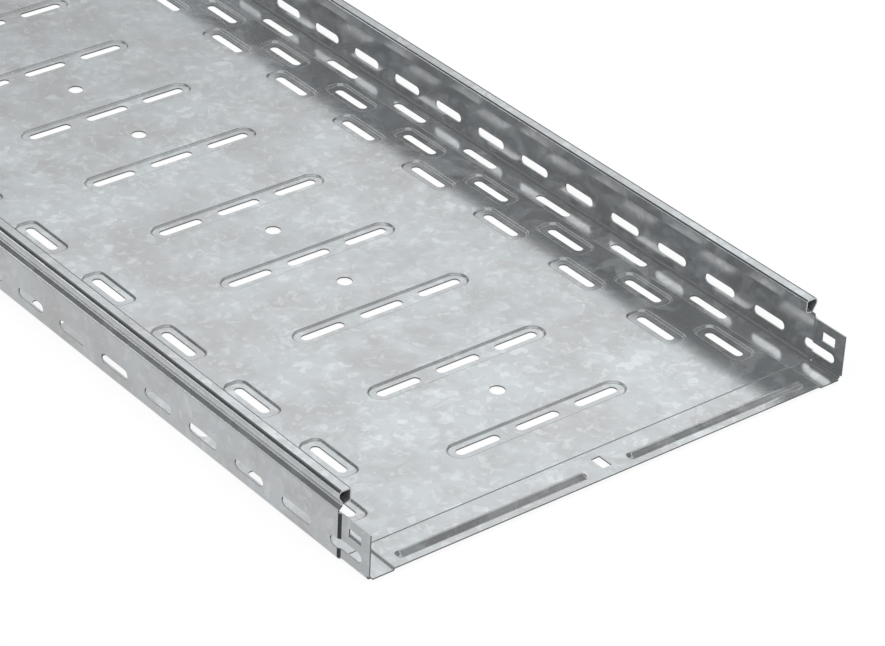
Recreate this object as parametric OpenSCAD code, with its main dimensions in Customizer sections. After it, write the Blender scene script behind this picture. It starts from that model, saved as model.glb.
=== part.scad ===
// Perforated cable tray, 50 x 400 mm, formed from one strip of galvanised
// sheet steel. The tray lies flat with its open side up. X runs across the
// tray, Y along it with the joggled connector end at -Y, Z up. The origin is
// the middle of the underside of the bounding box.

/* [Tray] */
// Overall width across the outer faces of the side walls
tray_w = 400; // [396:1:420]
// Overall height, underside to the top of the rolled edge
tray_h = 50; // [48:0.5:60]
// Covering length, without the connector that slides into the next tray
cover_l = 2000; // [500:250:3000]
// Sheet thickness
sheet_t = 1.0; // [0.8:0.1:1.2]
// Outside radius of the bend between floor and side wall
bend_r = 3.0; // [2:0.25:4]

/* [Floor] */
// Height of the floor panel above the lower corner strips
panel_rise = 1.35; // [1.2:0.05:1.8]
// Half width of the floor panel, middle of the step down to the strip
panel_half = 179.1; // [178.5:0.1:179.5]
// Length of a slot in the floor
slot_l = 35; // [25:1:38]
// Width of every slot, floor and wall
slot_w = 7; // [5:0.5:8]

/* [Cross grooves] */
// Distance from one cross groove to the next is a third of this module
module_l = 250; // [250:250:250]
// First groove, measured from the start of the full height walls
groove_first = 47.5; // [45:0.5:50]
// Length of a groove, half way up its sides
groove_l = 146.8; // [142:0.2:150]
// Width of a groove, half way up its sides
groove_w = 17.3; // [15:0.1:19]
// Distance between the three slots of a groove
groove_slot_pitch = 50; // [42:1:52]
// Diameter of the round holes on the centre line
hole_d = 11; // [8:0.5:13]

/* [Edge pockets] */
// Inner pocket row, distance from the centre line
row_a_x = 139; // [136:0.5:140]
// Outer pocket row, distance from the centre line
row_b_x = 164; // [162:0.5:166]
// Slot row in the corner strip, distance from the centre line
row_c_x = 187.4; // [186:0.2:189]
// Length of a pocket, half way up its sides
pocket_l = 46.8; // [44:0.2:48]
// Width of a pocket, half way up its sides
pocket_w = 17.4; // [15:0.2:18]
// Corner radius of a pocket
pocket_r = 5.6; // [4:0.2:7]

/* [Side walls] */
// Distance between wall slots
wall_pitch = 50; // [50:1:50]
// First wall slot, measured from the start of the full height walls
wall_first = 42; // [40:0.5:44]
// Length of a wall slot
wall_slot_l = 30; // [20:1:34]
// Height of the wall slots above the underside
wall_slot_z = 12.6; // [11:0.2:14]
// Height at which the outer face of the wall turns in to the rolled edge
wall_flat_h = 36.2; // [35.6:0.2:37]

/* [Rolled edge] */
// Depth of the neck below the rolled edge, from the outer face of the wall
neck_in = 3.8; // [3.4:0.1:4.2]
// Height of the neck
neck_z = 39.8; // [39.4:0.1:40.4]
// Width of the rolled edge over its inner lip, from the outer face of the wall
bead_w = 9.9; // [9.5:0.1:10.4]
// Height of the bend at the foot of the lip
lip_z = 41.1; // [40.8:0.1:42]
// Fall of the return that closes the rolled edge from below
return_fall = 1.65; // [1.2:0.05:2]

/* [Connector] */
// Length of the joggled connector end
conn_l = 31; // [28:0.5:34]
// Inward and upward offset of the connector
conn_off = 1.25; // [1.25:0.05:1.5]
// Length of the joggle
joggle_l = 2.0; // [1.8:0.1:2.4]
// Height of the connector side tabs
tab_h = 35; // [32:0.5:35]
// Length of the rectangular holes in floor and tabs
rect_l = 12; // [10:0.5:14]
// Width of the rectangular holes in floor and tabs
rect_w = 7; // [5:0.5:8]
// Height of the rectangular tab holes above the underside
rect_z = 25; // [23.5:0.5:27]
// Distance of the stiffening ribs from the front edge
rib_y = 9.5; // [8:0.5:11]
// Height of the stiffening ribs
rib_h = 2.2; // [1.5:0.1:2.4]
// Half width of the stiffening ribs at their foot
rib_hw = 3.5; // [3:0.1:4]
// Inner end of the ribs, distance from the centre line
rib_x0 = 17; // [14:0.5:24]
// Outer end of the ribs, distance from the centre line
rib_x1 = 171; // [160:0.5:172]

/* [Hidden] */
$fn = 48;

total_l = cover_l + conn_l;
y_front = -total_l / 2;           // free edge of the connector
y_body = y_front + conn_l;        // start of the full height walls
y_back = total_l / 2;             // plain end
pitch = module_l / 3;             // groove to groove
n_groove = floor((cover_l - groove_first - groove_w / 2) / pitch) + 1;
n_row = floor((cover_l - groove_first - pitch / 2 - pocket_l / 2) / pitch) + 1;
n_wall = ceil((cover_l - wall_first) / wall_pitch);
half_w = tray_w / 2;
mid_t = sheet_t / 2;
panel_top = panel_rise + sheet_t;
step_run = 0.7;                   // half the run of the slanted floor step

// --- bent sheet profile -------------------------------------------------
// A profile is a list of [x, z, r]: corners of the middle line of the sheet
// and the bend radius at each corner. off_path() gives the line at distance
// s to the left of it, so two of them bound the sheet.
function unit(v) = v / norm(v);
function xz(p) = [p[0], p[1]];
function heading(v) = atan2(v[1], v[0]);
function wrap(a) = a > 180 ? a - 360 : a < -180 ? a + 360 : a;
function corner(a, b, c, s) =
    let (d1 = unit(xz(b) - xz(a)), d2 = unit(xz(c) - xz(b)),
         turn = wrap(heading(d2) - heading(d1)),
         sgn = turn >= 0 ? 1 : -1,
         r = b[2], run = r * tan(abs(turn) / 2),
         ctr = xz(b) - d1 * run + [-d1[1], d1[0]] * r * sgn,
         n = max(1, ceil(abs(turn) / 12)))
    [for (i = [0:n])
        let (th = heading(d1) + turn * i / n)
        ctr + [-sin(th), cos(th)] * (s - r * sgn)];
function end_pt(p, d, s) = xz(p) + [-d[1], d[0]] * s;
function off_path(p, s) =
    let (n = len(p))
    concat([end_pt(p[0], unit(xz(p[1]) - xz(p[0])), s)],
           [for (i = [1:n - 2]) for (q = corner(p[i - 1], p[i], p[i + 1], s)) q],
           [end_pt(p[n - 1], unit(xz(p[n - 1]) - xz(p[n - 2])), s)]);
function flip(p) = [for (i = [len(p) - 1:-1:0]) [-p[i][0], p[i][1], p[i][2]]];
function back(p) = [for (i = [len(p) - 1:-1:0]) p[i]];
module sheet(outer, inner)
    polygon(concat(off_path(outer, -mid_t), back(off_path(inner, mid_t))));

// Right half of the floor and wall, from the centre line outwards, set in by
// off. Travelling to +X with +Z on the left, so a positive s is the inside.
function floor_half(off) = [
    [panel_half - step_run, mid_t + panel_rise + off, 0.9],
    [panel_half + step_run, mid_t + off, 0.9],
    [half_w - mid_t - off, mid_t + off, bend_r - mid_t]];
// Rolled edge: in to the neck, out round the bulge, over the top, down the lip
// and back towards the neck, where a gap stays open
function bead_half() = [
    [half_w - mid_t, wall_flat_h, 0.9],
    [half_w - neck_in - mid_t, neck_z, 1.8],
    [half_w - mid_t, tray_h - 4.6, 2.5],
    [half_w - mid_t, tray_h - mid_t, 2.0],
    [half_w - bead_w + mid_t, tray_h - mid_t, 1.1],
    [half_w - bead_w + mid_t, lip_z, 0.9],
    [half_w - neck_in - mid_t - 0.7, lip_z - return_fall, 0]];
body_half = concat(floor_half(0), bead_half());
body_path = concat(flip(body_half), body_half);
function tab_half(off) = concat(floor_half(off), [[half_w - mid_t - off, tab_h, 0]]);
function tab_path(off) = concat(flip(tab_half(off)), tab_half(off));

// Extrude a cross section along Y from y0 to y1
module along(y0, y1)
    translate([0, y1, 0]) rotate([90, 0, 0]) linear_extrude(y1 - y0) children();

// --- holes and pressed shapes -------------------------------------------
module stadium(l, w) {
    square([l - w, w], center = true);
    for (s = [-1, 1]) translate([s * (l - w) / 2, 0]) circle(d = w);
}
module rounded(l, w, r) {
    square([l - 2 * r, w], center = true);
    square([l, w - 2 * r], center = true);
    for (sx = [-1, 1], sy = [-1, 1])
        translate([sx * (l / 2 - r), sy * (w / 2 - r)]) circle(r = r);
}
module up(z0, z1) translate([0, 0, z0]) linear_extrude(z1 - z0) children();

// Places of the repeated shapes
module at_grooves()
    for (k = [0:n_groove - 1])
        translate([0, y_body + groove_first + k * pitch, 0]) children();
module at_row_a()
    for (k = [0:n_row - 1], s = [-1, 1])
        translate([s * row_a_x, y_body + groove_first + (k + 0.5) * pitch, 0])
            rotate(90) children();
module at_row_b()
    for (k = [0:n_groove - 1], s = [-1, 1])
        translate([s * row_b_x, y_body + groove_first + k * pitch, 0])
            rotate(90) children();
module at_row_c()
    for (k = [0:n_row - 1], s = [-1, 1])
        translate([s * row_c_x, y_body + groove_first + (k + 0.5) * pitch, 0])
            rotate(90) children();
module at_round_holes()
    for (k = [0:n_row - 1]) if (k % 3 != 1)
        translate([0, y_body + groove_first + (k + 0.5) * pitch, 0]) children();
module at_groove_slots()
    at_grooves() for (i = [-1:1]) translate([i * groove_slot_pitch, 0, 0]) children();

// Pressed-down pans below the panel and the hollows above them
module pans() {
    at_grooves() up(0, panel_rise + mid_t)
        stadium(groove_l + sheet_t, groove_w + sheet_t);
    at_row_a() up(0, panel_rise + mid_t)
        rounded(pocket_l + sheet_t, pocket_w + sheet_t, pocket_r + mid_t);
    at_row_b() up(0, panel_rise + mid_t)
        rounded(pocket_l + sheet_t, pocket_w + sheet_t, pocket_r + mid_t);
}
module hollows() {
    at_grooves() up(sheet_t, panel_top + 1)
        stadium(groove_l - sheet_t, groove_w - sheet_t);
    at_row_a() up(sheet_t, panel_top + 1)
        rounded(pocket_l - sheet_t, pocket_w - sheet_t, pocket_r - mid_t);
    at_row_b() up(sheet_t, panel_top + 1)
        rounded(pocket_l - sheet_t, pocket_w - sheet_t, pocket_r - mid_t);
}
module floor_slots() {
    at_groove_slots() up(-1, panel_top + 1) stadium(slot_l, slot_w);
    at_row_a() up(-1, panel_top + 1) stadium(slot_l, slot_w);
    at_row_b() up(-1, panel_top + 1) stadium(slot_l, slot_w);
    at_row_c() up(-1, panel_top + 1) stadium(slot_l, slot_w);
    at_round_holes() translate([0, 0, -1]) cylinder(d = hole_d, h = panel_top + 2);
}
// One tool cuts both walls; the first crosses the joggle and the last is open
// at the plain end, where the tab of the next tray is bolted
module wall_slots()
    for (k = [-1:n_wall - 1])
        translate([-half_w - 2, y_body + wall_first + k * wall_pitch, wall_slot_z])
            rotate([90, 0, 90]) linear_extrude(tray_w + 4)
                stadium(wall_slot_l, slot_w);

// --- connector end ------------------------------------------------------
rib_r = (rib_h * rib_h + rib_hw * rib_hw) / (2 * rib_h);
module rib_form(r)
    for (s = [-1, 1]) {
        translate([s * (rib_x0 + rib_hw), 0, 0]) sphere(r);
        translate([s * (rib_x1 - rib_hw), 0, 0]) sphere(r);
        translate([s * (rib_x0 + rib_x1) / 2, 0, 0]) rotate([0, 90, 0])
            cylinder(r = r, h = rib_x1 - rib_x0 - 2 * rib_hw, center = true);
    }
conn_top = panel_top + conn_off;
module rib_place() translate([0, y_front + rib_y, conn_top + rib_h - rib_r]) children();
module above(z) translate([-half_w, y_front, z]) cube([tray_w, conn_l - joggle_l - 1, 20]);

module connector_holes() {
    // floor hole between the ribs
    translate([0, y_front + conn_l / 2 - 0.5, -1]) linear_extrude(10)
        square([rect_w, rect_l], center = true);
    // one tool for the holes of both tabs
    translate([0, y_front + conn_l / 2 - 0.5, rect_z])
        cube([tray_w + 4, rect_l, rect_w], center = true);
    // relief at both ends of the bend: at the free edge and at the joggle
    for (s = [-1, 1]) {
        translate([s * (half_w - 1), y_front, 1]) cube([6.4, 3.6, 6.6], center = true);
        translate([s * (half_w - 0.6), y_body - joggle_l + 0.2, 0.8])
            cube([5, 1.4, 5.2], center = true);
    }
}

module tray() color([0.78, 0.80, 0.81]) difference() {
    union() {
        // floor, walls and rolled edges
        along(y_body, y_back) sheet(body_path, body_path);
        // joggle
        along(y_body - joggle_l, y_body) sheet(tab_path(0), tab_path(conn_off));
        // connector: the same section set in by conn_off, without rolled edges
        along(y_front, y_body - joggle_l) sheet(tab_path(conn_off), tab_path(conn_off));
        intersection() {
            rib_place() rib_form(rib_r);
            above(conn_top - mid_t);
        }
        pans();
    }
    hollows();
    floor_slots();
    wall_slots();
    connector_holes();
    intersection() {
        rib_place() rib_form(rib_r - sheet_t);
        above(conn_top - sheet_t - 1);
    }
}

tray();
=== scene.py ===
import math

import bpy
import numpy as np
from mathutils import Matrix, Vector
from mathutils.geometry import delaunay_2d_cdt


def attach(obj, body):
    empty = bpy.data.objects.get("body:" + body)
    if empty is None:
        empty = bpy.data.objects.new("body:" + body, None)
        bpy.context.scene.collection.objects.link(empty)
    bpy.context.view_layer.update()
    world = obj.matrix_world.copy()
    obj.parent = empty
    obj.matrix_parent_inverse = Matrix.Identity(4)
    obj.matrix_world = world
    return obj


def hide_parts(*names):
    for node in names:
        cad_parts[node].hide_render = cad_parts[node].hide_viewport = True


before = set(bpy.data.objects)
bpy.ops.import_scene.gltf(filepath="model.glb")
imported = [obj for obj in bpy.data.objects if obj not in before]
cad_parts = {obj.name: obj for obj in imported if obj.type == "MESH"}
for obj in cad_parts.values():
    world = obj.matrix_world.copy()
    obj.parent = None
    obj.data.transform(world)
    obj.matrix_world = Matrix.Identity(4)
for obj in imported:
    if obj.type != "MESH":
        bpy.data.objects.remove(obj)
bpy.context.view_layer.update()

# ---------------------------------------------------------------------------
# Sizes in millimetres, the same as in part.scad. The sheet is built as its
# middle surface first: every point has a place and the direction of the
# inside face. Both faces and the cut edges are made from that.
# ---------------------------------------------------------------------------
T = 1.0
HALF_W = 200.0
TRAY_H = 50.0
COVER = 2000.0
CONN = 31.0
Y_FRONT = -(COVER + CONN) / 2
Y_BODY = Y_FRONT + CONN
Y_BACK = -Y_FRONT
PITCH = 250.0 / 3
GROOVE_0 = Y_BODY + 47.5
ROW_0 = GROOVE_0 + PITCH / 2
WALL_0 = Y_BODY + 42.0
RISE = 1.35
PANEL_Z = T / 2 + RISE
STRIP_Z = T / 2
PANEL_HALF = 179.1
SLOT_L, SLOT_W = 35.0, 7.0
WALL_SLOT_L, WALL_SLOT_Z = 30.0, 12.6
HOLE_R = 5.5
GROOVE_L, GROOVE_W = 146.8, 17.3
POCKET_L, POCKET_W, POCKET_R = 46.8, 17.4, 5.6
ROW_A, ROW_B, ROW_C = 139.0, 164.0, 187.4
OFFSET = 1.25
RIB_Y, RIB_H = Y_FRONT + 10.2, 2.25
RIB_X0, RIB_X1 = 20.7, 167.5
RIB_FRONT, RIB_REAR, RIB_END = 6.6, 3.6, 4.4
RECT_Y = Y_FRONT + CONN / 2 - 0.5
RECT_L, RECT_W, RECT_Z = 12.0, 7.0, 25.0

STATION = PITCH / 10


def st(j):
    return Y_BODY + STATION * j


# ---------------------------------------------------------------------------
# Sides of the pressings and the joggle
# ---------------------------------------------------------------------------
class Flank:
    """Side of a pressing: a straight slope between two fillets of one radius."""

    def __init__(self, depth, angle, radius):
        c, sn = math.cos(math.radians(angle)), math.sin(math.radians(angle))
        self.depth, self.r, self.tan = depth, radius, sn / c
        self.a = (depth / 2 - radius * (1 - c)) / self.tan
        self.w = self.a + radius * sn
        arc = [self.w - radius * math.sin(math.radians(angle * i / 3)) for i in range(4)]
        self.rings = arc + [-v for v in reversed(arc)]
        self.foot = -self.w - 0.4

    def marks(self, s):
        """Where the finish is rubbed: along the upper edge and along the foot."""
        return ((s > self.rings[1]) & (s < self.w)) | ((s > self.foot) & (s < -self.w))

    def __call__(self, s):
        """depth well inside (s very negative), 0 well outside."""
        q = np.minimum(np.abs(np.asarray(s, float)), self.w)
        rise = np.where(
            q <= self.a,
            q * self.tan,
            self.depth / 2 - self.r + np.sqrt(np.maximum(self.r**2 - (self.w - q) ** 2, 0)),
        )
        return self.depth / 2 - np.sign(s) * rise

    def slope(self, s):
        q = np.abs(np.asarray(s, float))
        u = np.clip(self.w - q, 0, self.r * 0.999)
        g = np.where(q <= self.a, self.tan, u / np.sqrt(self.r**2 - u**2))
        return np.where(q >= self.w, 0.0, -g)


PRESS = Flank(RISE, 54, 0.62)
STEP = Flank(OFFSET, 30, 0.6)
JOG_MID = Y_BODY - 1.3
JOG_ROWS = [round(JOG_MID + s, 2) for s in (*STEP.rings[:4], -0.1, *STEP.rings[4:])]


def joggle(y):
    """Inward offset of the connector at y, and its slope."""
    y = np.asarray(y, float)
    return STEP(y - JOG_MID), STEP.slope(y - JOG_MID)


def sd_stadium(x, y, cx, cy, length, width, along_x):
    """Signed distance to a slot outline."""
    u, v = (x - cx, y - cy) if along_x else (y - cy, x - cx)
    e = (length - width) / 2
    return np.hypot(np.maximum(np.abs(u) - e, 0), v) - width / 2


def sd_rounded(x, y, cx, cy, length, width, r):
    """Signed distance to a rounded rectangle, long side along Y."""
    qx = np.abs(x - cx) - (width / 2 - r)
    qy = np.abs(y - cy) - (length / 2 - r)
    return (
        np.hypot(np.maximum(qx, 0), np.maximum(qy, 0))
        + np.minimum(np.maximum(qx, qy), 0)
        - r
    )


def stadium(cx, cy, length, width, along_x, n=9):
    e, r = (length - width) / 2, width / 2
    pts = []
    for side, a0 in ((1, -90), (-1, 90)):
        for i in range(n + 1):
            a = math.radians(a0 + 180 * i / n)
            pts.append((side * e + r * math.cos(a), r * math.sin(a)))
    return [(cx + u, cy + v) if along_x else (cx + v, cy + u) for u, v in pts]


def rounded(cx, cy, length, width, r, n=5):
    pts = []
    for sx, sy, a0 in ((1, 1, 0), (-1, 1, 90), (-1, -1, 180), (1, -1, 270)):
        for i in range(n + 1):
            a = math.radians(a0 + 90 * i / n)
            pts.append(
                (
                    cx + sx * (width / 2 - r) + r * math.cos(a),
                    cy + sy * (length / 2 - r) + r * math.sin(a),
                )
            )
    return pts


def circle(cx, cy, r, n=24):
    return [
        (cx + r * math.cos(2 * math.pi * i / n), cy + r * math.sin(2 * math.pi * i / n))
        for i in range(n)
    ]


def frame_loop(x0, y0, x1, y1, left=(), right=(), bottom=(), top=()):
    """Rectangle, counter-clockwise, with extra points on its sides."""
    pts = [(x0, y0)] + [(x, y0) for x in sorted(bottom) if x0 < x < x1]
    pts += [(x1, y0)] + [(x1, y) for y in sorted(right) if y0 < y < y1]
    pts += [(x1, y1)] + [(x, y1) for x in sorted(top, reverse=True) if x0 < x < x1]
    pts += [(x0, y1)] + [(x0, y) for y in sorted(left, reverse=True) if y0 < y < y1]
    return pts


# ---------------------------------------------------------------------------
# Collecting the middle surface
# ---------------------------------------------------------------------------
patch_p, patch_n, patch_t, patch_m = [], [], [], []
patch_count = 0


def add_patch(p, n, t, mirror, mark=None):
    global patch_count
    mark = np.zeros(len(t), bool) if mark is None else mark
    for flip in (False, True) if mirror else (False,):
        s = np.array([-1.0, 1.0, 1.0]) if flip else np.ones(3)
        patch_p.append(p * s)
        patch_n.append(n * s)
        patch_t.append((t[:, ::-1] if flip else t) + patch_count)
        patch_m.append(mark)
        patch_count += len(p)


def triangulate(loops, lines, keep):
    """Triangles of a flat region: closed loops and open lines are kept as edges."""
    verts, edges = [], []
    for pts, closed in [(l, True) for l in loops] + [(l, False) for l in lines]:
        b = len(verts)
        verts += [Vector(p) for p in pts]
        edges += [(b + i, b + i + 1) for i in range(len(pts) - 1)]
        if closed:
            edges.append((b + len(pts) - 1, b))
    v, _, f, _, _, _ = delaunay_2d_cdt(verts, edges, [], 0, 1e-5)
    v = np.array([tuple(p) for p in v])
    f = np.array([tuple(t) for t in f], int)
    a, b, c = v[f[:, 0]], v[f[:, 1]], v[f[:, 2]]
    area = (b[:, 0] - a[:, 0]) * (c[:, 1] - a[:, 1]) - (b[:, 1] - a[:, 1]) * (c[:, 0] - a[:, 0])
    f[area < 0] = f[area < 0][:, ::-1]
    m = (a + b + c) / 3
    f = f[(np.abs(area) > 1e-7) & keep(m[:, 0], m[:, 1])]
    used = np.unique(f)
    lut = np.full(len(v), -1)
    lut[used] = np.arange(len(used))
    return v[used], lut[f]


def unit(v):
    return v / np.linalg.norm(v, axis=1, keepdims=True)


def add_floor(loops, lines, keep, height, mirror, outline=None):
    v, f = triangulate(loops, lines, keep)
    x, y = v[:, 0], v[:, 1]
    mark = PRESS.marks(outline(x[f].mean(axis=1), y[f].mean(axis=1))) if outline else None
    h = 1e-4
    gx = (height(x + h, y) - height(x - h, y)) / (2 * h)
    gy = (height(x, y + h) - height(x, y - h)) / (2 * h)
    add_patch(
        np.stack([x, y, height(x, y)], 1),
        unit(np.stack([-gx, -gy, np.ones_like(x)], 1)),
        f,
        mirror,
        mark,
    )


def add_wall(loops, lines, keep):
    """Region of the right wall in (y, z), and its mirror image."""
    v, f = triangulate(loops, lines, keep)
    y, z = v[:, 0], v[:, 1]
    d, g = joggle(y)
    add_patch(
        np.stack([HALF_W - T / 2 - d, y, z], 1),
        unit(np.stack([-np.ones_like(y), -g, np.zeros_like(y)], 1)),
        f[:, ::-1],
        True,
    )


def add_rows(path, ys, skip=lambda row, y0, y1: False, lift=False, rubbed=()):
    """Right-hand profile rows (x, z, nx, nz) drawn along Y, and their mirror image."""
    rows = np.array(path, float)
    nr, ny = len(rows), len(ys)
    ys = np.array(ys, float)
    d, g = joggle(ys)
    p = np.zeros((nr, ny, 3))
    n = np.zeros((nr, ny, 3))
    for i, (x, z, nx, nz) in enumerate(rows):
        if lift:
            p[i] = np.stack([np.full(ny, x), ys, z + d], 1)
            n[i] = unit(np.stack([np.full(ny, nx), -g * nz, np.full(ny, nz)], 1))
        else:
            p[i] = np.stack([x + nx * d, ys, z + nz * d], 1)
            n[i] = unit(np.stack([np.full(ny, nx), -g, np.full(ny, nz)], 1))
    t, mark = [], []
    for i in range(nr - 1):
        for j in range(ny - 1):
            if skip(i, ys[j], ys[j + 1]):
                continue
            a, b = i * ny + j, (i + 1) * ny + j
            t += [(a, b, b + 1), (a, b + 1, a + 1)]
            mark += [i in rubbed] * 2
    add_patch(p.reshape(-1, 3), n.reshape(-1, 3), np.array(t, int), True, np.array(mark))


# Lines that divide the floor and the wall into columns
X1, X2, X3, X4, X5 = 100.0, 151.5, 177.8, 180.4, 195.8
Z6, Z7 = 4.3, 34.5
S_CENTRE = {0, 240} | {10 * k + 3 for k in range(24)} | {10 * k + 9 for k in range(24)}
S_A = {0, 240} | {10 * k + 6 for k in range(24)}
S_B = {0, 240} | {10 * k + 2 for k in range(24)}
S_W = {0, 240} | {6 * k + 3 for k in range(40)}


def ys_of(*sets):
    return [st(j) for j in sorted(set().union(*sets))]


L1, L2, L3 = ys_of(S_CENTRE, S_A), ys_of(S_A, S_B), ys_of(S_A, S_B)
L5, L7 = ys_of(S_A, S_W), ys_of(S_W)
CONN_YS = [Y_FRONT, Y_FRONT + 1.8, Y_BODY - 2.9] + sorted(JOG_ROWS) + [Y_BODY]


def flat(z):
    return lambda x, y: np.full_like(np.asarray(x, float), z)


def box_keep(x0, y0, x1, y1):
    return lambda x, y: (x > x0) & (x < x1) & (y > y0) & (y < y1)


# --- floor, middle column: grooves with three slots, round holes ------------
def groove_cell(k):
    cy, y0, y1 = GROOVE_0 + k * PITCH, st(10 * k + 3), st(10 * k + 9)
    loops = [frame_loop(-X1, y0, X1, y1, L1, L1)]
    loops += [
        stadium(0, cy, GROOVE_L + 2 * s, GROOVE_W + 2 * s, True, 13)
        for s in (*PRESS.rings, PRESS.foot)
    ]
    slots = [(-50.0, cy), (0.0, cy), (50.0, cy)]
    loops += [stadium(x, y, SLOT_L, SLOT_W, True) for x, y in slots]

    def keep(x, y):
        ok = box_keep(-X1, y0, X1, y1)(x, y)
        for sx, sy in slots:
            ok &= sd_stadium(x, y, sx, sy, SLOT_L, SLOT_W, True) > 0
        return ok

    def outline(x, y):
        return sd_stadium(x, y, 0, cy, GROOVE_L, GROOVE_W, True)

    add_floor(
        loops, [], keep, lambda x, y: PANEL_Z - PRESS(outline(x, y)), False, outline
    )


for k in range(24):
    groove_cell(k)
    y0, y1 = st(10 * k + 9), st(10 * k + 13)
    if k == 23:
        y1 = Y_BACK
    loops = [frame_loop(-X1, y0, X1, y1, L1, L1)]
    keep = box_keep(-X1, y0, X1, y1)
    if k < 23 and k % 3 != 1:
        cy = ROW_0 + k * PITCH
        loops.append(circle(0, cy, HOLE_R))
        keep = lambda x, y, a=keep, c=cy: a(x, y) & (np.hypot(x, y - c) > HOLE_R * 0.985)
    add_floor(loops, [], keep, flat(PANEL_Z), False)
add_floor(
    [frame_loop(-X1, st(0), X1, st(3), L1, L1)], [], box_keep(-X1, st(0), X1, st(3)),
    flat(PANEL_Z), False,
)


# --- floor, pocket rows and the corner strip --------------------------------
def pocket_cell(cx, cy, x0, x1, y0, y1, left, right):
    loops = [frame_loop(x0, y0, x1, y1, left, right)]
    loops += [
        rounded(cx, cy, POCKET_L + 2 * s, POCKET_W + 2 * s, POCKET_R + s)
        for s in (*PRESS.rings, PRESS.foot)
    ]
    loops.append(stadium(cx, cy, SLOT_L, SLOT_W, False))
    inside = box_keep(x0, y0, x1, y1)

    def outline(x, y):
        return sd_rounded(x, y, cx, cy, POCKET_L, POCKET_W, POCKET_R)

    add_floor(
        loops, [],
        lambda x, y: inside(x, y) & (sd_stadium(x, y, cx, cy, SLOT_L, SLOT_W, False) > 0),
        lambda x, y: PANEL_Z - PRESS(outline(x, y)),
        True,
        outline,
    )


def plain_cell(x0, y0, x1, y1, left, right, z, bottom=()):
    add_floor(
        [frame_loop(x0, y0, x1, y1, left, right, bottom)], [], box_keep(x0, y0, x1, y1),
        flat(z), True,
    )


for k in range(23):
    pocket_cell(ROW_A, ROW_0 + k * PITCH, X1, X2, st(10 * k + 6), st(10 * k + 16), L1, L2)
plain_cell(X1, st(0), X2, st(6), L1, L2, PANEL_Z)
plain_cell(X1, st(236), X2, st(240), L1, L2, PANEL_Z)
for k in range(24):
    y1 = st(10 * k + 12) if k < 23 else Y_BACK
    pocket_cell(ROW_B, GROOVE_0 + k * PITCH, X2, X3, st(10 * k + 2), y1, L2, L3)
plain_cell(X2, st(0), X3, st(2), L2, L3, PANEL_Z)
for k in range(23):
    cy, y0, y1 = ROW_0 + k * PITCH, st(10 * k + 6), st(10 * k + 16)
    inside = box_keep(X4, y0, X5, y1)
    add_floor(
        [frame_loop(X4, y0, X5, y1, L3, L5), stadium(ROW_C, cy, SLOT_L, SLOT_W, False)], [],
        lambda x, y, a=inside, c=cy: a(x, y)
        & (sd_stadium(x, y, ROW_C, c, SLOT_L, SLOT_W, False) > 0),
        flat(STRIP_Z), True,
    )
plain_cell(X4, st(0), X5, st(6), L3, L5, STRIP_Z)
plain_cell(X4, st(236), X5, st(240), L3, L5, STRIP_Z)

# --- step between panel and strip, bend, rolled edge: drawn along Y ----------
step_rows = []
for s in (X3 - PANEL_HALF, *sorted(PRESS.rings), X4 - PANEL_HALF):
    g = float(PRESS.slope(s))
    q = math.hypot(1, g)
    step_rows.append((PANEL_HALF + s, STRIP_Z + float(PRESS(s)), -g / q, 1 / q))
rubbed = (1, len(step_rows) - 2)
add_rows(step_rows, L3, lift=True, rubbed=rubbed)
add_rows(step_rows, CONN_YS, lift=True, rubbed=rubbed)
add_rows([(X4, STRIP_Z, 0, 1), (X5, STRIP_Z, 0, 1)], CONN_YS)

bend_rows = [(X5, STRIP_Z, 0, 1)]
for i in range(8):
    a = math.radians(-90 + 90 * i / 7)
    bend_rows.append(
        (197 + 2.5 * math.cos(a), 3 + 2.5 * math.sin(a), -math.cos(a), -math.sin(a))
    )
bend_rows.append((HALF_W - T / 2, Z6, -1, 0))
add_rows(bend_rows, L5)


def relief(row, y0, y1):
    if y1 < Y_FRONT + 1.9:
        return True
    return 1 <= row <= 7 and y0 > Y_BODY - 3.0 and y1 < JOG_MID + 0.1


add_rows(bend_rows, CONN_YS, skip=relief)


def bent(corners, step=11.0):
    """Rows along a bent line of corners (x, z, radius), inside to the left."""
    rows = []
    c = [np.array(p[:2], float) for p in corners]
    for i in range(len(c)):
        if i in (0, len(c) - 1):
            d = c[1] - c[0] if i == 0 else c[-1] - c[-2]
            d = d / np.linalg.norm(d)
            rows.append((*c[i], -d[1], d[0]))
            continue
        d1 = (c[i] - c[i - 1]) / np.linalg.norm(c[i] - c[i - 1])
        d2 = (c[i + 1] - c[i]) / np.linalg.norm(c[i + 1] - c[i])
        turn = math.atan2(d1[0] * d2[1] - d1[1] * d2[0], float(d1 @ d2))
        sg = 1.0 if turn >= 0 else -1.0
        r = corners[i][2]
        o = c[i] - d1 * r * math.tan(abs(turn) / 2) + np.array([-d1[1], d1[0]]) * r * sg
        n = max(2, math.ceil(abs(math.degrees(turn)) / step))
        for j in range(n + 1):
            th = math.atan2(d1[1], d1[0]) + turn * j / n
            left = np.array([-math.sin(th), math.cos(th)])
            rows.append((*(o - left * r * sg), left[0], left[1]))
    return rows


TAB_H = 35.15
bead_rows = bent(
    [
        (199.5, Z7, 0),
        (199.5, 36.3, 1.6),
        (196.1, 39.6, 1.8),
        (199.5, 45.2, 2.2),
        (199.5, 49.5, 2.4),
        (190.6, 49.5, 1.1),
        (190.6, 41.1, 0.9),
        (195.4, 39.4, 0),
    ]
)
bead_rows.insert(1, (199.5, TAB_H, -1.0, 0.0))
add_rows(bead_rows, L7)

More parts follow.
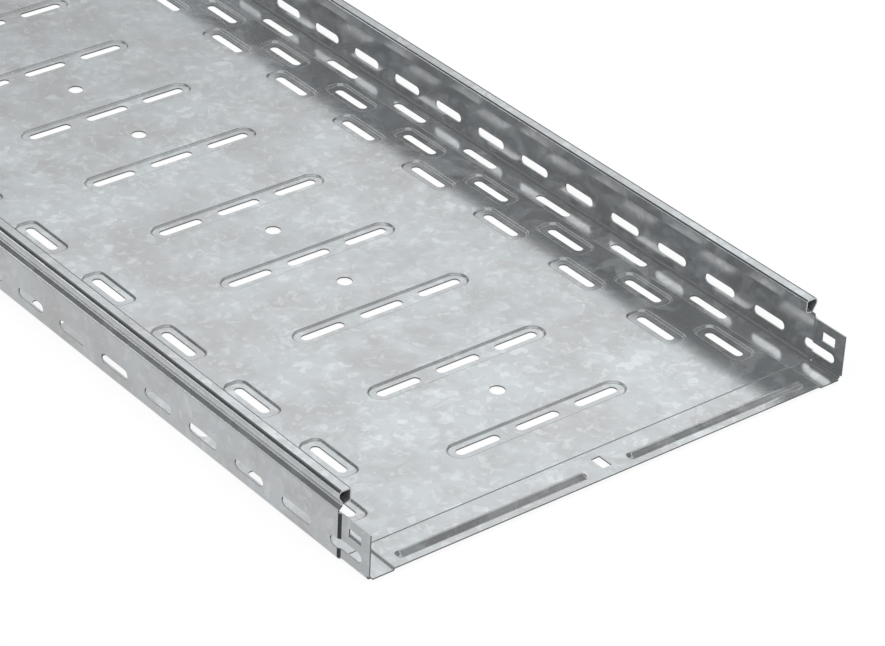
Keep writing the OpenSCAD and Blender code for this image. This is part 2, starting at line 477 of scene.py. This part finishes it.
# --- walls -------------------------------------------------------------------
for k in range(40):
    cy = WALL_0 + 50.0 * k
    y0 = st(6 * k + 3)
    y1 = st(6 * k + 9) if k < 39 else Y_BACK
    inside = box_keep(y0, Z6, y1, Z7)
    add_wall(
        [
            frame_loop(y0, Z6, y1, Z7, bottom=L5),
            stadium(cy, WALL_SLOT_Z, WALL_SLOT_L, SLOT_W, True),
        ],
        [],
        lambda y, z, a=inside, c=cy: a(y, z)
        & (sd_stadium(y, z, c, WALL_SLOT_Z, WALL_SLOT_L, SLOT_W, True) > 0),
    )

# --- connector: side tabs and floor ------------------------------------------
tab_slot = (Y_BODY - 8.0, WALL_SLOT_Z)


def tab_keep(y, z):
    ok = ((y < Y_BODY) & (z < TAB_H)) | ((y > Y_BODY) & (z < Z7))
    ok &= (y > Y_FRONT) & (y < st(3)) & (z > Z6)
    ok &= sd_stadium(y, z, *tab_slot, WALL_SLOT_L, SLOT_W, True) > 0
    return ok & ~((np.abs(y - RECT_Y) < RECT_L / 2) & (np.abs(z - RECT_Z) < RECT_W / 2))


def rect_hole(cx, cy, lx, ly, r=0.4):
    return rounded(cx, cy, ly, lx, r, 2)


add_wall(
    [
        [(y, Z6) for y in CONN_YS]
        + [(st(3), Z6), (st(3), Z7), (Y_BODY, Z7), (Y_BODY, TAB_H)]
        + [(y, TAB_H) for y in sorted(CONN_YS[:-1], reverse=True)],
        stadium(*tab_slot, WALL_SLOT_L, SLOT_W, True),
        rect_hole(RECT_Y, RECT_Z, RECT_L, RECT_W),
    ],
    [[(y, Z6), (y, TAB_H)] for y in JOG_ROWS] + [[(Y_BODY, Z6), (Y_BODY, Z7)]],
    tab_keep,
)


def rib_d(x, y):
    """0 along the crest of a rib, 1 along its foot."""
    u = np.abs(np.abs(x) - (RIB_X0 + RIB_X1) / 2) - (RIB_X1 - RIB_X0) / 2
    v = y - RIB_Y
    return np.hypot(np.maximum(u, 0) / RIB_END, v / np.where(v < 0, RIB_FRONT, RIB_REAR))


def conn_height(x, y):
    d = np.minimum(rib_d(x, y), 1)
    return PANEL_Z + joggle(y)[0] + RIB_H * np.cos(math.pi / 2 * d) ** 4


def rib_ring(side, d, n=14):
    pts = []
    for end, a0 in ((RIB_X1, -90), (RIB_X0, 90)):
        for i in range(n + 1):
            a = math.radians(a0 + 180 * i / n)
            v = math.sin(a)
            x = end + RIB_END * d * math.cos(a)
            pts.append((side * x, RIB_Y + d * v * (RIB_FRONT if v < 0 else RIB_REAR)))
    return pts if side > 0 else pts[::-1]


loops = [frame_loop(-X3, Y_FRONT, X3, Y_BODY, CONN_YS, CONN_YS, (), (-X2, -X1, X1, X2))]
for s in (-1, 1):
    loops += [rib_ring(s, i / 10) for i in range(1, 11)]
loops.append(rect_hole(0, RECT_Y, RECT_W, RECT_L))
lines = [[(-X3, y), (X3, y)] for y in JOG_ROWS]
lines += [[(s * RIB_X0, RIB_Y), (s * RIB_X1, RIB_Y)] for s in (-1, 1)]
add_floor(
    loops,
    lines,
    lambda x, y: box_keep(-X3, Y_FRONT, X3, Y_BODY)(x, y)
    & ~((np.abs(x) < RECT_W / 2) & (np.abs(y - RECT_Y) < RECT_L / 2)),
    conn_height,
    False,
)

# ---------------------------------------------------------------------------
# Weld the patches, then make both faces and the cut edges
# ---------------------------------------------------------------------------
P = np.concatenate(patch_p)
N = np.concatenate(patch_n)
F = np.concatenate(patch_t)
fold = np.concatenate(patch_m)
_, first, inv = np.unique(
    np.round(P * 1000).astype(np.int64), axis=0, return_index=True, return_inverse=True
)
inv = inv.reshape(-1)
P, N, F = P[first], N[first], inv[F]
whole = (F[:, 0] != F[:, 1]) & (F[:, 1] != F[:, 2]) & (F[:, 2] != F[:, 0])
F, fold = F[whole], fold[whole]
nv = len(P)

e = np.concatenate([F[:, [0, 1]], F[:, [1, 2]], F[:, [2, 0]]])
key = e[:, 0].astype(np.int64) * nv + e[:, 1]
rev = e[:, 1].astype(np.int64) * nv + e[:, 0]
rim = e[~np.isin(key, rev)]
ea, eb = rim[:, 0], rim[:, 1]
along_e = unit(P[eb] - P[ea])
out_e = unit(np.cross(along_e, unit(N[ea] + N[eb])))
out_v = np.zeros((nv, 3))
np.add.at(out_v, ea, out_e)
np.add.at(out_v, eb, out_e)
on_rim = np.linalg.norm(out_v, axis=1) > 1e-9
out_v[on_rim] = unit(out_v[on_rim])
miter = np.ones(nv)
np.minimum.at(miter, ea, np.einsum("ij,ij->i", out_v[ea], out_e))
np.minimum.at(miter, eb, np.einsum("ij,ij->i", out_v[eb], out_e))
miter = 1 / np.clip(miter, 0.5, 1)

EDGE = 0.12
pull = np.where(on_rim[:, None], out_v * (EDGE * miter)[:, None], 0)
top = P - pull + N * (T / 2)
bottom = P - pull - N * (T / 2)
ids = np.full(nv, -1)
ids[on_rim] = np.arange(on_rim.sum())
nr = int(on_rim.sum())
upper = P[on_rim] + N[on_rim] * (T / 2 - EDGE)
lower = P[on_rim] - N[on_rim] * (T / 2 - EDGE)
V = np.concatenate([top, bottom, upper, lower])
o_top, o_bot, o_up, o_lo = 0, nv, 2 * nv, 2 * nv + nr

tri_top, tri_bot = F + o_top, F[:, ::-1] + o_bot
qa, qb = ids[ea], ids[eb]
smooth_a = np.einsum("ij,ij->i", out_v[ea], out_e) > math.cos(math.radians(25))
smooth_b = np.einsum("ij,ij->i", out_v[eb], out_e) > math.cos(math.radians(25))
na = np.where(smooth_a[:, None], out_v[ea], out_e)
nb = np.where(smooth_b[:, None], out_v[eb], out_e)
quads = [
    (ea + o_top, qa + o_up, qb + o_up, eb + o_top, N[ea], na, nb, N[eb]),
    (qa + o_up, qa + o_lo, qb + o_lo, qb + o_up, na, na, nb, nb),
    (qa + o_lo, ea + o_bot, eb + o_bot, qb + o_lo, na, -N[ea], -N[eb], nb),
]
tris = [tri_top, tri_bot]
norms = [N[F], -N[F[:, ::-1]]]
edge_from = len(tri_top) + len(tri_bot)
for a, b, c, d, n_a, n_b, n_c, n_d in quads:
    tris += [np.stack([a, b, c], 1), np.stack([a, c, d], 1)]
    norms += [np.stack([n_a, n_b, n_c], 1), np.stack([n_a, n_c, n_d], 1)]
tris = np.concatenate(tris)
norms = np.concatenate(norms)

mesh = bpy.data.meshes.new("tray_sheet")
mesh.from_pydata((V * 0.001).tolist(), [], tris.tolist())
mesh.polygons.foreach_set("use_smooth", np.ones(len(tris), bool))
mid = P[F].mean(axis=1)
face_n = N[F].mean(axis=1)
# riser: the slope of the joggle; its faces get painted shade as dark lines
riser = np.abs(mid[:, 1] - JOG_MID) < STEP.w
hollow = (mid[:, 2] > 40.3) | ((mid[:, 2] > 39.0) & (np.abs(mid[:, 0]) < 195.6))
wall = (np.abs(face_n[:, 0]) > 0.5) & (mid[:, 2] < 48.5) & (np.abs(mid[:, 0]) > 194)
# bends of the rolled edge: painted shade over the top, with a thin painted dark line where the bend starts
lean = -face_n[:, 2]
far = np.abs(mid[:, 0])
rolled = (far > 196) & (lean > 0.64) & (lean < 0.998) & (mid[:, 2] > 47.0)
rolled |= (far < 193) & (lean > 0.50) & (lean < 0.985) & (mid[:, 2] > 47.0)
# crease: thin painted dark lines where the bead's upper bend starts and under the top bend of the wall
crease = (far > 196) & (lean > 0.02) & (lean < 0.17) & (mid[:, 2] > 46.5)
crease |= (far > 199) & (mid[:, 2] > TAB_H) & (mid[:, 2] < 35.6) & (mid[:, 1] > Y_BODY)
# tabs: outside, a still darker copy of the zinc, painted shade
tab = wall & (mid[:, 1] < Y_BODY - 2.9)
# foot: the inside of the bottom bend, given the hollow's dark material as painted shade in the corner
foot = (far > 197.0) & (mid[:, 2] < 3.0)
foot |= (far > 197.0 - OFFSET) & (mid[:, 2] < 3.0 + OFFSET) & (mid[:, 1] < Y_BODY)
# lip: its outside faces take the inner wall's darker copy, painted shade
lip = (far < 192) & (mid[:, 2] > 41) & (mid[:, 2] < 48.5)
strip = (far > PANEL_HALF + 1.0) & (mid[:, 2] < 2.0) & (mid[:, 1] > Y_BODY)
GALV, CUT, JOGGLE_SHADE, HOLLOW_SHADE, RUBBED, OUTER_SHADED, BEND_SHADE, ROLLED_SHADE, TAB_SHADED, WALL_SHADED, STRIP = range(11)
# inside: painted shade in the hollow bead, the bottom corner and along the joggle; the tabs and walls take
# darker copies of the zinc, also painted shade
inside = np.select(
    [hollow | foot, riser, tab, fold, wall, strip],
    [HOLLOW_SHADE, BEND_SHADE, OUTER_SHADED, RUBBED, WALL_SHADED, STRIP],
    GALV,
)
# outside: near-black painted shade on the joggle of the walls; the bend lines and the rolled edge get
# painted shade too
outside = np.select(
    [riser & wall, riser | crease, rolled, tab, wall, fold, lip],
    [JOGGLE_SHADE, BEND_SHADE, ROLLED_SHADE, TAB_SHADED, OUTER_SHADED, RUBBED, WALL_SHADED],
    GALV,
)
# the ends of the rolled edges and the upturned edges of the walls are paler
rim_mid = (P[ea] + P[eb]) / 2
rim_pale = (np.abs(along_e[:, 1]) < 0.1) & (rim_mid[:, 2] > 39.0)
upturned = (out_e[:, 2] > 0.2) & (np.abs(rim_mid[:, 0]) > 195)
rim_pale |= upturned & (rim_mid[:, 2] > 20)
cut = np.where(rim_pale | upturned, RUBBED, CUT)
broken = np.where(rim_pale, RUBBED, CUT)
mat_index = np.concatenate([inside, outside] + [cut] * 4 + [broken] * 2).astype(np.int32)
mesh.polygons.foreach_set("material_index", mat_index)
mesh.update()
mesh.normals_split_custom_set(norms.reshape(-1, 3).tolist())
tray = bpy.data.objects.new("tray_sheet", mesh)
bpy.context.scene.collection.objects.link(tray)


# ---------------------------------------------------------------------------
# Materials
# ---------------------------------------------------------------------------
LIGHT = (0.600, 0.629, 0.645)
WARM = (0.530, 0.527, 0.529)
PALE = (0.80, 0.82, 0.83)
DARK = (0.42, 0.43, 0.44)


class Nodes:
    """Small helper to place and join shader nodes."""

    def __init__(self, tree):
        self.tree = tree
        tree.nodes.clear()

    def new(self, kind, inputs=None, **props):
        n = self.tree.nodes.new(kind)
        for k, v in props.items():
            setattr(n, k, v)
        for k, v in (inputs or {}).items():
            s = n.inputs[k]
            if isinstance(v, bpy.types.NodeSocket):
                self.tree.links.new(v, s)
            else:
                s.default_value = v
        return n

    def math(self, op, a, b=0.0, clamp=False):
        return self.new("ShaderNodeMath", {0: a, 1: b}, operation=op, use_clamp=clamp).outputs[0]

    def span(self, v, a, b, c=0.0, d=1.0, kind="SMOOTHSTEP"):
        return self.new(
            "ShaderNodeMapRange",
            {"Value": v, "From Min": a, "From Max": b, "To Min": c, "To Max": d},
            interpolation_type=kind,
        ).outputs["Result"]

    def mix(self, f, a, b, blend="MIX"):
        n = self.new("ShaderNodeMix", data_type="RGBA", blend_type=blend)
        for i, v in ((0, f), (6, a), (7, b)):
            if isinstance(v, bpy.types.NodeSocket):
                self.tree.links.new(v, n.inputs[i])
            else:
                n.inputs[i].default_value = v
        return n.outputs[2]

    def noise(self, vec, scale, detail=3.0, rough=0.5, dist=0.0):
        return self.new(
            "ShaderNodeTexNoise",
            {"Vector": vec, "Scale": scale, "Detail": detail, "Roughness": rough, "Distortion": dist},
        ).outputs["Fac"]


def galvanised(name, shade_of, fleck_of=1.0, film_size=20.0, bright=0.88, veiled=0.76):
    """Zinc coating; shade_of darkens the colour, so the copies for the walls are a shade darker, which is
    painted shade.
    """
    m = bpy.data.materials.new(name)
    m.use_nodes = True
    k = Nodes(m.node_tree)
    light, warm_tone, pale, dark = (
        (*(v * shade_of for v in c), 1) for c in (LIGHT, WARM, PALE, DARK)
    )
    at = k.new("ShaderNodeTexCoord").outputs["Object"]
    cloud = k.noise(at, 14.0, 4.0, 0.62)
    curl = k.new(
        "ShaderNodeTexNoise", {"Vector": at, "Scale": 42.0, "Detail": 3.0, "Roughness": 0.6}
    ).outputs
    # zinc crystals: cells with their outlines bent by noise
    off = k.new(
        "ShaderNodeVectorMath", {0: curl["Color"], 1: (0.5, 0.5, 0.5)}, operation="SUBTRACT"
    ).outputs[0]
    off = k.new("ShaderNodeVectorMath", {0: off, "Scale": 0.03}, operation="SCALE").outputs[0]
    bent_at = k.new("ShaderNodeVectorMath", {0: at, 1: off}, operation="ADD").outputs[0]
    cell = k.new("ShaderNodeTexVoronoi", {"Vector": bent_at, "Scale": 40.0}).outputs["Color"]
    cell = k.new("ShaderNodeSeparateColor", {0: cell}).outputs
    off = k.new("ShaderNodeVectorMath", {0: off, "Scale": 0.4}, operation="SCALE").outputs[0]
    chip_at = k.new("ShaderNodeVectorMath", {0: at, 1: off}, operation="ADD").outputs[0]
    chip = k.new("ShaderNodeTexVoronoi", {"Vector": chip_at, "Scale": 175.0}).outputs["Color"]
    chip = k.new("ShaderNodeSeparateColor", {0: chip}).outputs
    fine = k.noise(bent_at, 150.0, 2.0, 0.55)
    # darker, warmer clouds, pale flecks in clusters, a faint step from crystal to crystal
    patch = k.math("ADD", k.math("MULTIPLY", cloud, 0.6), k.math("MULTIPLY", curl["Fac"], 0.4))
    warm = k.math("MULTIPLY", k.span(patch, 0.42, 0.62), 0.75)
    warm = k.math("ADD", warm, k.math("MULTIPLY", k.span(cell[1], 0.45, 0.70), 0.35), clamp=True)
    cluster = k.span(patch, 0.55, 0.40)
    fleck = k.math("MULTIPLY", k.span(chip[0], 0.60, 0.95), cluster)
    mist = k.math("ADD", fine, k.math("MULTIPLY", curl["Fac"], 0.5))
    mist = k.span(mist, 0.78, 0.98)
    col = k.mix(warm, light, warm_tone)
    col = k.mix(k.math("MULTIPLY", mist, 0.50 * fleck_of), col, pale)
    col = k.mix(k.math("MULTIPLY", fleck, 0.65 * fleck_of), col, pale)
    broad = k.noise(at, 5.0, 2.0, 0.5)
    shade = k.span(cell[0], 0.0, 1.0, 0.0, 0.14, "LINEAR")
    shade = k.math("ADD", shade, k.span(broad, 0.35, 0.65, 0.0, 0.14))
    col = k.mix(shade, col, dark)
    rough = k.math("MULTIPLY", cloud, 0.12)
    rough = k.math("ADD", rough, k.math("MULTIPLY", curl["Fac"], 0.10))
    rough = k.math("ADD", rough, 0.07)
    bump = k.new(
        "ShaderNodeBump", {"Height": fine, "Strength": 0.04, "Distance": 0.0003}
    ).outputs[0]
    # duller patches with rounded outlines
    film = k.noise(at, film_size, 2.0, 0.5, 1.2)
    metal = k.span(film, 0.50, 0.58, bright, veiled)
    bsdf = k.new(
        "ShaderNodeBsdfPrincipled",
        {"Base Color": col, "Metallic": metal, "Roughness": rough, "Normal": bump},
    )
    k.new("ShaderNodeOutputMaterial", {"Surface": bsdf.outputs[0]})
    return m


def dull(name, dark, light, rough_lo, rough_hi, scale, metal=1.0):
    """Dull steel: bare steel without the bright zinc on the cut edges, and painted shade on the bent
    edges, the joggle and the hollow edge.
    """
    m = bpy.data.materials.new(name)
    m.use_nodes = True
    k = Nodes(m.node_tree)
    at = k.new("ShaderNodeTexCoord").outputs["Object"]
    grain = k.noise(at, scale, 3.0, 0.6)
    col = k.mix(grain, (*dark, 1), (*light, 1))
    rough = k.span(grain, 0.2, 0.8, rough_lo, rough_hi, "LINEAR")
    bump = k.new("ShaderNodeBump", {"Height": grain, "Strength": 0.2, "Distance": 0.0002}).outputs[0]
    bsdf = k.new(
        "ShaderNodeBsdfPrincipled",
        {"Base Color": col, "Metallic": metal, "Roughness": rough, "Normal": bump},
    )
    k.new("ShaderNodeOutputMaterial", {"Surface": bsdf.outputs[0]})
    return m


mesh.materials.append(galvanised("galvanised_steel", 1.0))
mesh.materials.append(dull("cut_edge", (0.09, 0.09, 0.095), (0.21, 0.215, 0.22), 0.3, 0.5, 1400.0))
# joggle: near-black painted shade, standing for a shadow gap between wall and tab
mesh.materials.append(dull("joggle_painted_shade", (0.025, 0.028, 0.03), (0.07, 0.075, 0.08), 0.35, 0.5, 600.0))
# painted shade inside the hollow bead and in the bottom corner of the walls
mesh.materials.append(dull("hollow_painted_shade", (0.20, 0.205, 0.21), (0.28, 0.285, 0.29), 0.35, 0.5, 300.0, 0.5))
mesh.materials.append(
    dull("rubbed_edge", (0.45, 0.46, 0.465), (0.56, 0.57, 0.575), 0.35, 0.5, 400.0, 0.4)
)
# outer faces of the walls and inner faces of the tabs: a darker copy of the zinc, painted shade
mesh.materials.append(galvanised("galvanised_outer_shaded", 0.735, 0.6))
mesh.materials.append(
    # painted shade: dark lines along the joggle and the creases
    dull("bend_painted_shade", (0.285, 0.30, 0.31), (0.40, 0.42, 0.43), 0.4, 0.55, 500.0, 0.5)
)
# painted shade: the dark band over the bends of the rolled edge
mesh.materials.append(
    dull("rolled_painted_shade", (0.17, 0.178, 0.182), (0.24, 0.248, 0.252), 0.25, 0.4, 250.0, 0.95)
)
# outside of the tabs: painted shade
mesh.materials.append(galvanised("galvanised_tab_shaded", 0.64))
# inner faces of the walls and the lip: painted shade, with a different pattern of duller patches
mesh.materials.append(galvanised("galvanised_wall_shaded", 0.88, 1.0, 45.0, 0.92, 0.74))
mesh.materials.append(galvanised("galvanised_strip", 1.0, 1.0, 45.0, 0.80, 0.70))
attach(tray, "root")
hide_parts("tray")

# ---------------------------------------------------------------------------
# Floor, light, camera
# ---------------------------------------------------------------------------
ground = bpy.data.meshes.new("floor")
R = 60.0
ground.from_pydata(
    [(-R, -R, -0.0004), (R, -R, -0.0004), (R, R, -0.0004), (-R, R, -0.0004)], [], [(0, 1, 2, 3)]
)
floor = bpy.data.objects.new("floor", ground)
bpy.context.scene.collection.objects.link(floor)
pale = bpy.data.materials.new("pale_floor")
pale.use_nodes = True
k = Nodes(pale.node_tree)
b = k.new(
    "ShaderNodeBsdfPrincipled",
    {
        "Base Color": (0.14, 0.14, 0.14, 1),
        "Roughness": 0.9,
        "Specular IOR Level": 0.0,
        "Emission Color": (1, 1, 1, 1),
        "Emission Strength": 0.86,
    },
)
k.new("ShaderNodeOutputMaterial", {"Surface": b.outputs[0]})
ground.materials.append(pale)

world = bpy.data.worlds.new("studio")
bpy.context.scene.world = world
world.use_nodes = True
k = Nodes(world.node_tree)
ray = k.new("ShaderNodeTexCoord").outputs["Generated"]


axis = k.new("ShaderNodeSeparateXYZ", {0: ray}).outputs
flat_ray = k.new("ShaderNodeCombineXYZ", {0: axis[0], 1: axis[1]}).outputs[0]
flat_ray = k.new("ShaderNodeVectorMath", {0: flat_ray}, operation="NORMALIZE").outputs[0]


def sine(a):
    return math.sin(math.radians(a))


def heights(up, a, b, c, d):
    """1 between elevations b and c, 0 below a and above d."""
    return k.math("MULTIPLY", k.span(up, sine(a), sine(b)), k.span(up, sine(c), sine(d), 1.0, 0.0))


def softbox(azimuth, half, tilt, a, b, c, d, inner=20, outer=25):
    """A wide soft panel of light at that azimuth, from +X towards +Y."""
    t = math.radians(azimuth)
    v = k.new(
        "ShaderNodeVectorMath", {0: flat_ray, 1: (math.cos(t), math.sin(t), 0)}, operation="DOT_PRODUCT"
    ).outputs["Value"]
    v = k.span(v, math.cos(math.radians(half + outer)), math.cos(math.radians(half - inner)))
    up = k.new(
        "ShaderNodeVectorMath",
        {0: ray, 1: (tilt * math.sin(t), -tilt * math.cos(t), 1.0)},
        operation="DOT_PRODUCT",
    ).outputs["Value"]
    return k.math("MULTIPLY", v, heights(up, a, b, c, d))


def total(parts):
    level = None
    for part, gain in parts:
        part = k.math("MULTIPLY", part, gain)
        level = part if level is None else k.math("ADD", level, part)
    return level


room = total(
    [
        (k.span(axis[2], sine(7), sine(27), 0.13, 0.41), 1.0),
        (k.span(axis[2], sine(38), sine(52)), -0.19),
        (softbox(130, 45, 0.0, 8, 27, 60, 75), -0.147),
        (softbox(118, 32, 0.0, 33, 42, 58, 72), -0.14),
        (k.span(axis[2], sine(62), sine(76)), 0.55),
    ]
)
panels = total(
    [
        (softbox(47, 45, 0.3, 20, 31, 43, 56), 0.72),
        (softbox(227, 45, 0.0, 19, 35, 43, 56), 0.40),
        (softbox(139, 25, 0.0, 1, 4, 12, 17), 0.90),
        (softbox(131, 3.75, 0.0, 1, 4, 12, 17, 3.25, 3.25), 2.00),
        (softbox(309, 25, 0.0, 22, 40, 42, 50), 0.30),
    ]
)
room = k.math("MAXIMUM", room, 0.06)
bg = k.new(
    "ShaderNodeAddShader",
    {
        0: k.new("ShaderNodeBackground", {"Color": (0.98, 0.995, 1, 1), "Strength": room}).outputs[0],
        1: k.new("ShaderNodeBackground", {"Color": (0.965, 0.99, 1, 1), "Strength": panels}).outputs[0],
    },
)
k.new("ShaderNodeOutputWorld", {"Surface": bg.outputs[0]})

key = bpy.data.lights.new("key", "SUN")
key.energy = 2.3
key.angle = math.radians(100)
key_o = bpy.data.objects.new("key", key)
key_o.rotation_mode = "QUATERNION"
key_o.rotation_quaternion = Vector((-0.40, -0.25, 0.88)).to_track_quat("Z", "Y")
key_o.visible_glossy = False
bpy.context.scene.collection.objects.link(key_o)

cam_data = bpy.data.cameras.new("camera")
cam_data.sensor_fit = "HORIZONTAL"
cam_data.sensor_width = 36.0
cam_data.lens = 3632.33 * 36.0 / 885
cam_data.clip_start, cam_data.clip_end = 0.05, 200
cam = bpy.data.objects.new("camera", cam_data)
bpy.context.scene.collection.objects.link(cam)
right = Vector((0.7825005, -0.6211375, 0.0433725))
up = Vector((0.3003847, 0.4376000, 0.8475112))
back = Vector((-0.5454008, -0.6501495, 0.5290024))
rot = Matrix((right, up, back)).transposed().to_4x4()
cam.matrix_world = Matrix.Translation((-1.32016, -2.40938, 1.30397)) @ rot
bpy.context.scene.camera = cam
bpy.context.scene.view_settings.view_transform = "Standard"
